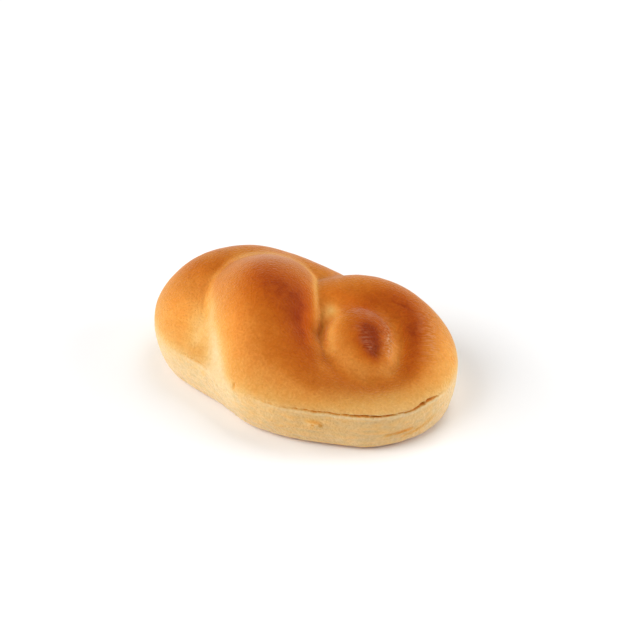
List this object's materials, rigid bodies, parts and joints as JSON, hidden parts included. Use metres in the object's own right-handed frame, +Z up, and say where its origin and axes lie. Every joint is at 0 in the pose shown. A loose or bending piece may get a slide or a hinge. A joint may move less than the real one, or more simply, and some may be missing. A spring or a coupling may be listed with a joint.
{
  "type": "bread roll",
  "caption": "Knotted soft bread roll with a browned top, a strand crossing over the loops, a low knob, pale sides and a flat bottom.",
  "frame": {"origin": "under the middle of the roll's bounding box, on its flat bottom", "axes": "+X along the roll towards the loop with the knob, +Z up from the tray, -Y the side seen in the picture"},
  "size_m": [0.1152, 0.0726, 0.0445],
  "materials": {
    "crust": "browned, washed crust with a soft sheen, pale low on the sides"
  },
  "bodies": {
    "root": {"roll": "crust"}
  },
  "joints": []
}
